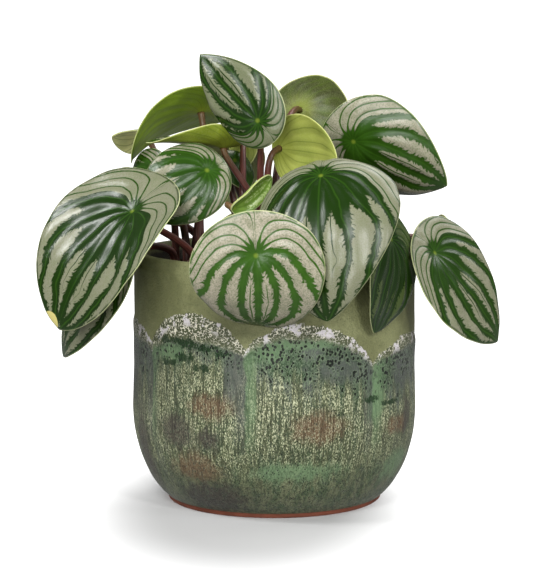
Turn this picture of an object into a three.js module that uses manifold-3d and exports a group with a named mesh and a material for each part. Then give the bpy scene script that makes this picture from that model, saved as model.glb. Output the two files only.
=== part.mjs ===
// Watermelon peperomia in a glazed stoneware pot.
// Millimetres, +Z up. The origin is on the surface under the middle of the pot, and -Y is its front.
import * as THREE from 'three';
import { mergeVertices } from 'three/addons/utils/BufferGeometryUtils.js';
import Module from 'manifold-3d';

const wasm = await Module();
wasm.setup();

// ---- Driving dimensions ----
const GAP = 0.3; // between neighbours that touch
const ROUND_SEGMENTS = 48; // of the pot and the soil

const POT = {
  height: 133,
  footRadius: 57,
  footHeight: 2.5,
  underside: [[57.5, 2.5], [66, 9], [75.3, 28], [75.3, 50]], // [radius, height] controls of its curve
  wallRadius: 74.7,
  wallFoot: 72, // where the wall turns upright
  collarHeight: 127, // of the faint step under the rim
  collarDrop: 1, // height of the step's slope
  collarInset: 0.6,
  lipRadius: 2.4,
  wall: 5.5,
  floor: 8,
  cornerRadius: 26, // of the inside, where the wall meets the floor
};

const SOIL = {
  edgeHeight: 122,
  crownHeight: 125, // in the middle of the mound
  rings: [1, 0.86, 0.66, 0.44, 0.2], // shares of the way out to the edge
  lump: 0.8,
  lumpPitch: { x: 5.3, y: 6.1, across: 3.7 },
  holeSides: 8,
};

const PETIOLE = {
  rootRadius: 2.3,
  tipRadius: 1.6,
  depth: 12, // stands this deep in its hole
  upright: 2, // leaves the soil this far straight up
  seat: 0.6, // gap under the blade
  stepLength: 11,
  sides: 7,
};

const CROWN = {
  radius: 4.5,
  foot: 113,
  shoulder: 125.4,
  top: 129,
  dome: 0.6, // share of the radius left halfway from the shoulder to the top
  sides: 10,
};

const BLADE = {
  thickness: 0.9,
  spokes: 18,
  rings: [0.28, 0.55, 0.8, 1], // shares of the way out to the margin
  midribSteps: 12,
};

// ---- Leaves ----
// Each leaf is a shield-shaped blade on its own petiole, which joins it from below, inside the margin.
//   at              where the petiole meets the blade
//   faces, tilt     bearing of the upper face (0 is -Y, 90 is +X), and how far it looks up, in degrees
//   roll            where the tip points: 0 is straight down the face, positive is towards bearing + 90
//   length, width   of the blade laid flat
//   heelShare       share of the length behind the petiole
//   taper           how early the margin narrows towards the tip
//   arch, hook      bend of the tip half along the midrib, and the extra bend near the tip, in degrees
//   heel            bend of the part behind the petiole
//   left, right     how far each side turns down between the midrib and its margin
//   twist           turn of the tip about the midrib
//   root            where the petiole leaves the soil
//   rise, reach     how strongly the petiole runs up out of the soil, and into the blade
const LEAVES = [
  {
    name: 'front_round',
    at: [-9, -107, 142], faces: 6, tilt: 3, roll: 4,
    length: 76, width: 68, heelShare: 0.29, taper: 1.5,
    arch: 69, hook: 27, heel: 9, left: 12, right: 26, twist: -12,
    root: [-5, -10], rise: 18, reach: 70,
  },
  {
    name: 'front_drape',
    at: [23, -66, 178], faces: -21, tilt: 51, roll: 11,
    length: 107, width: 84, heelShare: 0.25, taper: 1.6,
    arch: 59, hook: 14, heel: 60, left: 42, right: 54, twist: 1,
    root: [4, -4], rise: 21, reach: 5,
  },
  {
    name: 'left_large',
    at: [-73, -45, 158], faces: -43, tilt: 42, roll: -24,
    length: 100, width: 84, heelShare: 0.26, taper: 1.4,
    arch: 28, hook: 16, heel: 17, left: -18, right: -15, twist: 16,
    root: [-42, -10], rise: 11, reach: 11,
  },
  {
    name: 'left_under',
    at: [-85, -28, 139], faces: -59, tilt: 25, roll: -22,
    length: 86, width: 64, heelShare: 0.2, taper: 1.4,
    arch: 14, hook: 10, heel: 14, left: 28, right: 24, twist: -5,
    root: [-53, -4], rise: 14, reach: 9,
  },
  {
    name: 'left_round',
    at: [-35, -22, 177], faces: 11, tilt: 32, roll: -65,
    length: 55, width: 45, heelShare: 0.22, taper: 1.3,
    arch: 53, hook: 20, heel: 23, left: 23, right: 21, twist: 3,
    root: [-39, -4], rise: 20, reach: 36,
  },
  {
    name: 'top',
    at: [-9, -30, 203], faces: -21, tilt: 2, roll: -133,
    length: 65, width: 39, heelShare: 0.22, taper: 1.8,
    arch: 20, hook: 2, heel: 20, left: 42, right: 18, twist: -4,
    root: [-8, -4], rise: 23, reach: 5,
  },
  {
    name: 'right_upper',
    at: [42, 14, 189], faces: -20, tilt: -16, roll: 60,
    length: 76, width: 62, heelShare: 0.26, taper: 1.6,
    arch: 18, hook: 6, heel: 29, left: 42, right: 43, twist: -12,
    root: [37, 19], rise: 6, reach: 62,
  },
  {
    name: 'lime_right', colour: 'lime',
    at: [3, -6, 187], faces: 150, tilt: 5, roll: -87,
    length: 47, width: 41, heelShare: 0.1, taper: 1.5,
    arch: 27, hook: 10, heel: 16, left: 22, right: 22, twist: 3,
    root: [-2, -1], rise: 22, reach: 19,
  },
  {
    name: 'right_hanging',
    at: [84, -25, 134], faces: 51, tilt: 26, roll: 38,
    length: 82, width: 64, heelShare: 0.2, taper: 1.6,
    arch: 14, hook: 7, heel: 12, left: 1, right: 3, twist: -7,
    root: [24, 13], rise: 37, reach: 5,
  },
  {
    name: 'right_shaded',
    at: [60, -50, 144], faces: 65, tilt: 16, roll: -17,
    length: 69, width: 54, heelShare: 0.27, taper: 1.6,
    arch: 41, hook: 2, heel: 15, left: 1, right: -1, twist: -4,
    root: [31, -10], rise: 18, reach: 16,
  },
  {
    name: 'lime_rolled', colour: 'lime',
    at: [-27, 0, 188], faces: -165, tilt: 77, roll: 89,
    length: 51, width: 39, heelShare: 0.18, taper: 1.8,
    arch: -20, hook: 26, heel: -2, left: -64, right: -38, twist: 16,
    root: [5, 4], rise: 14, reach: 5,
  },
  {
    name: 'olive_left', colour: 'lime',
    at: [-40, 28, 205], faces: -156, tilt: 63, roll: 73,
    length: 72, width: 60, heelShare: 0.28, taper: 1.5,
    arch: 46, hook: 29, heel: 17, left: -10, right: -10, twist: -2,
    root: [-43, 15], rise: 20, reach: 37,
  },
  {
    name: 'olive_right', colour: 'lime',
    at: [14, 61, 203], faces: 164, tilt: -25, roll: -62,
    length: 62, width: 49, heelShare: 0.27, taper: 1.4,
    arch: 55, hook: 15, heel: 38, left: 42, right: 39, twist: -8,
    root: [-1, 8], rise: 77, reach: 5,
  },
  {
    name: 'far_left', colour: 'lime',
    at: [-71, 55, 191], faces: -131, tilt: 55, roll: 87,
    length: 35, width: 28, heelShare: 0.28, taper: 1.7,
    arch: -6, hook: 12, heel: 20, left: 44, right: 45, twist: 2,
    root: [-47, 10], rise: 21, reach: 33,
  },
  {
    name: 'young_folded',
    at: [-20, -45, 159], faces: 52, tilt: -14, roll: 130,
    length: 29, width: 17, heelShare: 0.08, taper: 1.1,
    arch: -18, hook: 0, heel: 0, left: -66, right: -66, twist: 0,
    root: [-15, -8], rise: 32, reach: 10,
  },
  {
    name: 'small_inner',
    at: [-21, 22, 179], faces: 31, tilt: 34, roll: 6,
    length: 26, width: 21, heelShare: 0.29, taper: 1.4,
    arch: 10, hook: 6, heel: 33, left: 33, right: 34, twist: -1,
    root: [-16, 16], rise: 14, reach: 15,
  },
  {
    name: 'small_left',
    at: [-63, -1, 172], faces: -36, tilt: 7, roll: -65,
    length: 45, width: 37, heelShare: 0.24, taper: 1.4,
    arch: 56, hook: 25, heel: 13, left: 27, right: 29, twist: 0,
    root: [-53, 13], rise: 35, reach: 6,
  },
  {
    name: 'lime_small', colour: 'lime',
    at: [-17, 36, 190], faces: 180, tilt: 8, roll: 0,
    length: 24, width: 17, heelShare: 0.28, taper: 1.4,
    arch: 16, hook: 11, heel: 13, left: 26, right: 27, twist: 0,
    root: [-17, -1], rise: 47, reach: 5,
  },
  {
    name: 'rear_left',
    at: [-92, 40, 160], faces: -115, tilt: 35, roll: 14,
    length: 78, width: 64, heelShare: 0.25, taper: 1.4,
    arch: 34, hook: 14, heel: 18, left: 24, right: 24, twist: 4,
    root: [-37, 18], rise: 22, reach: 16,
  },
  {
    name: 'rear_hanging',
    at: [-9, 93, 134], faces: -174, tilt: 34, roll: -4,
    length: 82, width: 64, heelShare: 0.25, taper: 1.5,
    arch: 36, hook: 16, heel: 16, left: 22, right: 26, twist: -4,
    root: [-29, -1], rise: 34, reach: 5,
  },
  {
    name: 'rear_right',
    at: [45, 80, 146], faces: 150, tilt: 40, roll: 8,
    length: 80, width: 58, heelShare: 0.25, taper: 1.4,
    arch: 38, hook: 16, heel: 18, left: 26, right: 24, twist: 5,
    root: [30, 18], rise: 22, reach: 5,
  },
  {
    name: 'rear_side',
    at: [99, 30, 137], faces: 104, tilt: 30, roll: -8,
    length: 58, width: 46, heelShare: 0.25, taper: 1.5,
    arch: 22, hook: 10, heel: 14, left: 20, right: 20, twist: 0,
    root: [46, 11], rise: 19, reach: 5,
  },
  {
    name: 'rear_upper',
    at: [-28, 66, 184], faces: -172, tilt: 54, roll: -8,
    length: 58, width: 46, heelShare: 0.25, taper: 1.4,
    arch: 34, hook: 12, heel: 16, left: 24, right: 24, twist: 0,
    root: [-9, 18], rise: 22, reach: 18,
  },
];

// ---- Crowns: where the petioles of each of the three plants in the pot spring from ----
const CROWNS = [
  { name: 'left', at: [-42, 4] },
  { name: 'middle', at: [-8, 4] },
  { name: 'right', at: [34, 4] },
];

// ---- Materials ----
const COLOURS = {
  glaze: 0x7c8560,
  soil: 0x2a2019,
  petiole: 0x6e4138,
  crown: 0x5b3a2c,
  striped: 0x6f8a58, // silver between deep green veins, seen from a distance
  lime: 0x9fae45,
};

const surface = (color, roughness) => new THREE.MeshStandardMaterial({ color, roughness, metalness: 0 });
const MATERIALS = {
  glaze: surface(COLOURS.glaze, 0.35),
  soil: surface(COLOURS.soil, 0.95),
  petiole: surface(COLOURS.petiole, 0.45),
  crown: surface(COLOURS.crown, 0.8),
  striped: surface(COLOURS.striped, 0.4),
  lime: surface(COLOURS.lime, 0.5),
};

// ---- Geometry helpers ----
const radians = THREE.MathUtils.degToRad;

/** Turns a profile of [radius, height] points about the vertical axis. */
function turned(profile) {
  const points = profile.map(([radius, height]) => new THREE.Vector2(radius, height));
  return new THREE.LatheGeometry(points, ROUND_SEGMENTS).rotateX(Math.PI / 2);
}

/** The closed solid of a geometry, for cutting. */
function toSolid(geometry) {
  const bare = geometry.clone();
  bare.deleteAttribute('normal');
  bare.deleteAttribute('uv');
  const merged = mergeVertices(bare, 1e-3);
  return new wasm.Manifold(
    new wasm.Mesh({
      numProp: 3,
      vertProperties: merged.attributes.position.array,
      triVerts: new Uint32Array(merged.index.array),
    }),
  );
}

/** A geometry of a solid that has been cut. */
function toGeometry(solid) {
  const { vertProperties, triVerts } = solid.getMesh();
  const geometry = new THREE.BufferGeometry();
  geometry.setAttribute('position', new THREE.Float32BufferAttribute(vertProperties, 3));
  geometry.setIndex(Array.from(triVerts));
  geometry.computeVertexNormals();
  return geometry;
}

function indexedGeometry(positions, indices) {
  const geometry = new THREE.BufferGeometry();
  geometry.setAttribute('position', new THREE.Float32BufferAttribute(positions, 3));
  geometry.setIndex(indices);
  geometry.computeVertexNormals();
  return geometry;
}

function named(name, geometry, material) {
  const mesh = new THREE.Mesh(geometry, material);
  mesh.name = name;
  return mesh;
}

// ---- Pot ----
/** [radius, height] points round the inside corner, from the floor up to the straight wall. */
function innerCorner(clearance) {
  const radius = POT.cornerRadius - clearance;
  const centre = [POT.wallRadius - POT.wall - POT.cornerRadius, POT.floor + POT.cornerRadius];
  return [90, 68, 45, 22, 0].map((angle) => [
    centre[0] + radius * Math.cos(radians(angle)),
    centre[1] - radius * Math.sin(radians(angle)),
  ]);
}

/** [radius, height] points over the rounded lip, from the outside to the inside. */
function lip() {
  const centre = [POT.wallRadius - POT.collarInset - POT.lipRadius, POT.height - POT.lipRadius];
  return [0, 35, 90, 145, 180].map((angle) => [
    centre[0] + POT.lipRadius * Math.cos(radians(angle)),
    centre[1] + POT.lipRadius * Math.sin(radians(angle)),
  ]);
}

function potGeometry() {
  const controls = POT.underside.map(([radius, height]) => new THREE.Vector2(radius, height));
  const underside = new THREE.CubicBezierCurve(...controls);
  return turned([
    [0, 0],
    [POT.footRadius, 0],
    [POT.footRadius, POT.footHeight],
    ...underside.getPoints(6).map((point) => [point.x, point.y]),
    [POT.wallRadius, POT.wallFoot],
    [POT.wallRadius, POT.collarHeight - POT.collarDrop],
    [POT.wallRadius - POT.collarInset, POT.collarHeight],
    ...lip(),
    ...innerCorner(0).reverse(),
    [0, POT.floor],
  ]);
}

// ---- Soil ----
/** Height of the loose lumps over the smooth mound of soil. */
function lumpAt(x, y) {
  const { lump, lumpPitch } = SOIL;
  const large = Math.sin(x / lumpPitch.x + 0.4) * Math.cos(y / lumpPitch.y);
  const small = Math.sin((x + y) / lumpPitch.across);
  return lump * (large + 0.5 * small);
}

function soilGeometry() {
  const edge = POT.wallRadius - POT.wall - GAP;
  const top = SOIL.rings.map((share) => [
    share * edge,
    SOIL.edgeHeight + (SOIL.crownHeight - SOIL.edgeHeight) * (1 - share * share),
  ]);
  const geometry = turned([
    [0, POT.floor + GAP],
    ...innerCorner(GAP),
    ...top,
    [0, SOIL.crownHeight],
  ]);
  const position = geometry.attributes.position;
  for (let i = 0; i < position.count; i += 1) {
    const [x, y, z] = [position.getX(i), position.getY(i), position.getZ(i)];
    const isTop = z > SOIL.edgeHeight + 0.1;
    if (isTop) position.setZ(i, z + lumpAt(x, y));
  }
  return geometry;
}

/** A plain upright hole in the soil, wide enough for a round stem of this radius. */
function soilHole([x, y], radius, bottom) {
  const height = SOIL.crownHeight + 4 * SOIL.lump - bottom;
  const wide = (radius + GAP) / Math.cos(Math.PI / SOIL.holeSides);
  const hole = new THREE.CylinderGeometry(wide, wide, height, SOIL.holeSides);
  return hole.rotateX(Math.PI / 2).translate(x, y, bottom + height / 2);
}

// ---- Blades ----
/** Bends a point of the flat blade, `across` from the midrib and `along` it from the petiole. */
function bendBlade(leaf, across, along) {
  const towardTip = along > 0;
  const share = Math.abs(along) / (leaf.length * (towardTip ? 1 - leaf.heelShare : leaf.heelShare));
  const slopeAt = (s) => radians(towardTip ? leaf.arch * s + leaf.hook * s ** 3 : leaf.heel * s);
  let run = 0;
  let drop = 0;
  for (let i = 0; i < BLADE.midribSteps; i += 1) {
    const slope = slopeAt((share * (i + 0.5)) / BLADE.midribSteps);
    run += (Math.cos(slope) * Math.abs(along)) / BLADE.midribSteps;
    drop += (Math.sin(slope) * Math.abs(along)) / BLADE.midribSteps;
  }
  const half = leaf.width / 2;
  const turn = radians(across > 0 ? leaf.right : leaf.left) || 1e-4;
  const angle = (turn * Math.abs(across)) / half;
  const side = (Math.sign(across) * half * Math.sin(angle)) / turn;
  const sink = (half * (1 - Math.cos(angle))) / turn;
  const twist = radians(towardTip ? leaf.twist * share : 0);
  const x = side * Math.cos(twist) + sink * Math.sin(twist);
  const lift = side * Math.sin(twist) - sink * Math.cos(twist);
  const slope = towardTip ? -slopeAt(share) : slopeAt(share);
  return new THREE.Vector3(
    x,
    (towardTip ? run : -run) - lift * Math.sin(slope),
    lift * Math.cos(slope) - drop,
  );
}

/** Margin of the flat blade: broad and rounded at the heel, narrowing to the tip. */
function marginPoint(leaf, turn) {
  const half = turn / 2;
  const widest = Math.atan(Math.sqrt(1 / leaf.taper));
  const scale = Math.sin(widest) * Math.cos(widest) ** leaf.taper;
  const across = (Math.sin(half) * Math.abs(Math.cos(half)) ** leaf.taper * Math.sign(Math.cos(half))) / scale;
  return [(across * leaf.width) / 2, (Math.sin(half) ** 2 - leaf.heelShare) * leaf.length];
}

/** A closed curved sheet: the same net on its upper and lower faces, joined at the margin. */
function bladeGeometry(leaf) {
  const { spokes, rings, thickness } = BLADE;
  const middle = [bendBlade(leaf, 0, 0)];
  for (const ring of rings) {
    for (let spoke = 0; spoke < spokes; spoke += 1) {
      const [across, along] = marginPoint(leaf, (2 * Math.PI * spoke) / spokes);
      middle.push(bendBlade(leaf, across * ring, along * ring));
    }
  }
  const at = (ring, spoke) => 1 + ring * spokes + (spoke % spokes);
  const net = [];
  for (let spoke = 0; spoke < spokes; spoke += 1) {
    net.push(0, at(0, spoke), at(0, spoke + 1));
    for (let ring = 0; ring < rings.length - 1; ring += 1) {
      net.push(at(ring, spoke), at(ring + 1, spoke), at(ring + 1, spoke + 1));
      net.push(at(ring, spoke), at(ring + 1, spoke + 1), at(ring, spoke + 1));
    }
  }
  const sheet = indexedGeometry(middle.flatMap((point) => point.toArray()), net);
  const normals = middle.map((_, i) => new THREE.Vector3().fromBufferAttribute(sheet.attributes.normal, i));
  const face = (side) =>
    middle.flatMap((point, i) => point.clone().addScaledVector(normals[i], (side * thickness) / 2).toArray());
  const under = middle.length;
  const indices = [...net];
  for (let i = 0; i < net.length; i += 3) {
    indices.push(net[i] + under, net[i + 2] + under, net[i + 1] + under);
  }
  const edge = rings.length - 1;
  for (let spoke = 0; spoke < spokes; spoke += 1) {
    const [here, next] = [at(edge, spoke), at(edge, spoke + 1)];
    indices.push(here, here + under, next + under);
    indices.push(here, next + under, next);
  }
  return indexedGeometry([...face(1), ...face(-1)], indices);
}

/** The blade's own axes: x across, y towards the tip, z out of its upper face. */
function bladeAxes(leaf) {
  const [bearing, tilt, roll] = [leaf.faces, leaf.tilt, leaf.roll].map(radians);
  const outward = new THREE.Vector3(Math.sin(bearing), -Math.cos(bearing), 0);
  const up = new THREE.Vector3(0, 0, 1);
  const facing = outward.clone().multiplyScalar(Math.cos(tilt)).addScaledVector(up, Math.sin(tilt));
  const downhill = outward.clone().multiplyScalar(Math.sin(tilt)).addScaledVector(up, -Math.cos(tilt));
  const level = new THREE.Vector3(Math.cos(bearing), Math.sin(bearing), 0);
  const tip = downhill.multiplyScalar(Math.cos(roll)).addScaledVector(level, Math.sin(roll));
  return { across: tip.clone().cross(facing), tip, facing };
}

function bladeMesh(leaf) {
  const { across, tip, facing } = bladeAxes(leaf);
  const mesh = named(`blade_${leaf.name}`, bladeGeometry(leaf), MATERIALS[leaf.colour ?? 'striped']);
  mesh.quaternion.setFromRotationMatrix(new THREE.Matrix4().makeBasis(across, tip, facing));
  mesh.position.set(...leaf.at);
  return mesh;
}

// ---- Petioles ----
const petioleFoot = SOIL.edgeHeight - PETIOLE.depth;

/** Upright out of its hole, then over in one sweep to meet the underside of the blade squarely. */
function petioleCurve(leaf) {
  const [x, y] = leaf.root;
  const { facing } = bladeAxes(leaf);
  const blade = new THREE.Vector3(...leaf.at);
  const end = blade.clone().addScaledVector(facing, -(BLADE.thickness / 2 + PETIOLE.seat));
  const start = new THREE.Vector3(x, y, SOIL.crownHeight + PETIOLE.upright);
  const path = new THREE.CurvePath();
  path.add(new THREE.LineCurve3(new THREE.Vector3(x, y, petioleFoot), start));
  path.add(
    new THREE.CubicBezierCurve3(
      start,
      start.clone().add(new THREE.Vector3(0, 0, leaf.rise)),
      end.clone().addScaledVector(facing, -leaf.reach),
      end,
    ),
  );
  return path;
}

/** A round stem along a path, slimmer towards its end, closed at both ends. */
function stemGeometry(path) {
  const { sides, rootRadius, tipRadius } = PETIOLE;
  const length = path.getLength();
  const upright = path.curves[0].getLength() / length;
  const steps = Math.ceil(((1 - upright) * length) / PETIOLE.stepLength);
  const stations = [0];
  for (let step = 0; step <= steps; step += 1) {
    stations.push(1 - (1 - upright) * (1 - step / steps));
  }
  const positions = [];
  const normal = new THREE.Vector3(1, 0, 0);
  for (const station of stations) {
    const centre = path.getPointAt(station);
    const tangent = path.getTangentAt(station);
    normal.addScaledVector(tangent, -normal.dot(tangent)).normalize();
    const binormal = tangent.clone().cross(normal);
    const radius = THREE.MathUtils.lerp(rootRadius, tipRadius, station);
    for (let side = 0; side < sides; side += 1) {
      const angle = (2 * Math.PI * side) / sides;
      const point = centre
        .clone()
        .addScaledVector(normal, radius * Math.cos(angle))
        .addScaledVector(binormal, radius * Math.sin(angle));
      positions.push(...point.toArray());
    }
  }
  const at = (ring, side) => ring * sides + (side % sides);
  const last = stations.length - 1;
  const indices = [];
  for (let side = 0; side < sides; side += 1) {
    for (let ring = 0; ring < last; ring += 1) {
      indices.push(at(ring, side), at(ring, side + 1), at(ring + 1, side + 1));
      indices.push(at(ring, side), at(ring + 1, side + 1), at(ring + 1, side));
    }
  }
  for (let side = 1; side < sides - 1; side += 1) {
    indices.push(at(0, 0), at(0, side + 1), at(0, side));
    indices.push(at(last, 0), at(last, side), at(last, side + 1));
  }
  return indexedGeometry(positions, indices);
}

// ---- Crowns: the short stubs that the petioles grow round ----
function crownGeometry([x, y]) {
  const { radius, foot, shoulder, top, dome, sides } = CROWN;
  const points = [
    [0, foot],
    [radius, foot],
    [radius, shoulder],
    [radius * dome, (shoulder + top) / 2],
    [0, top],
  ].map(([across, height]) => new THREE.Vector2(across, height));
  return new THREE.LatheGeometry(points, sides).rotateX(Math.PI / 2).translate(x, y, 0);
}

// ---- The plant in its pot ----
const holes = [
  ...LEAVES.map((leaf) => soilHole(leaf.root, PETIOLE.rootRadius, petioleFoot - GAP)),
  ...CROWNS.map(({ at }) => soilHole(at, CROWN.radius, CROWN.foot - GAP)),
];
const soil = holes.reduce((solid, hole) => solid.subtract(toSolid(hole)), toSolid(soilGeometry()));

const plant = new THREE.Group();
for (const leaf of LEAVES) {
  plant.add(bladeMesh(leaf));
  plant.add(named(`petiole_${leaf.name}`, stemGeometry(petioleCurve(leaf)), MATERIALS.petiole));
}
for (const crown of CROWNS) {
  plant.add(named(`crown_${crown.name}`, crownGeometry(crown.at), MATERIALS.crown));
}

const pottedPeperomia = new THREE.Group();
pottedPeperomia.add(named('pot', potGeometry(), MATERIALS.glaze));
pottedPeperomia.add(named('soil', toGeometry(soil), MATERIALS.soil));
pottedPeperomia.add(plant);

export default pottedPeperomia;
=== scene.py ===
"""Looks of the potted peperomia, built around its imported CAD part.

Lengths in the tables are millimetres and angles are degrees, as in the CAD source, and meshes are made in
metres. The origin is on the surface under the middle of the pot, +Z is up and -Y is the front.
"""

import math
from dataclasses import dataclass
from itertools import combinations

import bpy
import numpy as np
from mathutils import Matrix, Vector

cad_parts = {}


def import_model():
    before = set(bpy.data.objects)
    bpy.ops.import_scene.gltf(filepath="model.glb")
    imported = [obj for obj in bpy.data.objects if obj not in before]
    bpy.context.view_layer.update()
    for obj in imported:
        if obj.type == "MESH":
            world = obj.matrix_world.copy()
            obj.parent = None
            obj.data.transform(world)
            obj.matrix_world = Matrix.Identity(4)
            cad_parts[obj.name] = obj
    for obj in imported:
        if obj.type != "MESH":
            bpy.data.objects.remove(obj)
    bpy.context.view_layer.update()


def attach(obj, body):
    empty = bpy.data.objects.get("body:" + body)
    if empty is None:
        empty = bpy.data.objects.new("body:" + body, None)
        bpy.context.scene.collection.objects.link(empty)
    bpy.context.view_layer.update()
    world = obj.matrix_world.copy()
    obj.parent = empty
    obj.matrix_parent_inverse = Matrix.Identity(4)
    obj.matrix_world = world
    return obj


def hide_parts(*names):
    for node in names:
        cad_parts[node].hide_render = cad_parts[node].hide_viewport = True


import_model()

MM = 0.001
UP = np.array([0.0, 0.0, 1.0])
RANGE_ENDS = ("From Min", "From Max", "To Min", "To Max")  # inputs of a Map Range node
MIX_FACTOR, MIX_A, MIX_B, MIX_RESULT = 0, 6, 7, 2  # a Mix node's inputs and output for colours

# ---- Dimensions shared with the CAD source ----
GAP = 0.3
POT_HEIGHT = 133
FOOT_RADIUS = 57
FOOT_HEIGHT = 2.5
BELLY_RADIUS = 75.3
BELLY_HEIGHT = 50
# (radius, height) controls of the curve from the foot to the belly
UNDERSIDE = [(FOOT_RADIUS + 0.5, FOOT_HEIGHT), (66, 9), (BELLY_RADIUS, 28), (BELLY_RADIUS, BELLY_HEIGHT)]
WALL_RADIUS = 74.7
WALL_FOOT = 72  # where the wall turns upright
COLLAR_HEIGHT = 127  # of the faint step under the rim
COLLAR_INSET = 0.6
LIP_RADIUS = 2.4
WALL = 5.5
SOIL_EDGE_HEIGHT = 122
SOIL_CROWN_HEIGHT = 125
SOIL_RADIUS = WALL_RADIUS - WALL - GAP
SOIL_SKIRT = SOIL_EDGE_HEIGHT - 9  # the bed and the crowns go down to here
SOIL_LUMP = 0.8
LUMP_PITCH_X, LUMP_PITCH_Y, LUMP_PITCH_ACROSS = 5.3, 6.1, 3.7
BLADE_THICKNESS = 0.9
STEM_ROOT_RADIUS = 2.3
STEM_TIP_RADIUS = 1.6
STEM_DEPTH = 12
STEM_UPRIGHT = 2  # leaves the soil this far straight up
CROWN_RADIUS = 4.5
CROWN_TOP = 129
CROWNS = {"left": (-42, 4), "middle": (-8, 4), "right": (34, 4)}


# ---- Leaves, with the shapes of the CAD source ----
@dataclass
class Leaf:
    """A blade on its petiole, as in the CAD source: see there for what each dimension means."""

    name: str
    at: tuple
    faces: float
    tilt: float
    roll: float
    length: float
    width: float
    heel_share: float
    taper: float
    arch: float
    hook: float
    heel: float
    left: float
    right: float
    twist: float
    root: tuple
    rise: float
    reach: float

    @property
    def seed(self):
        """The leaf's number in the table, which starts its random draws."""
        return LEAVES.index(self) + 1

    @property
    def to_tip(self):
        """Length of the blade from its petiole to its tip."""
        return self.length * (1 - self.heel_share)

    @property
    def stripes(self):
        return STRIPES.get(self.name, Stripes())


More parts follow.
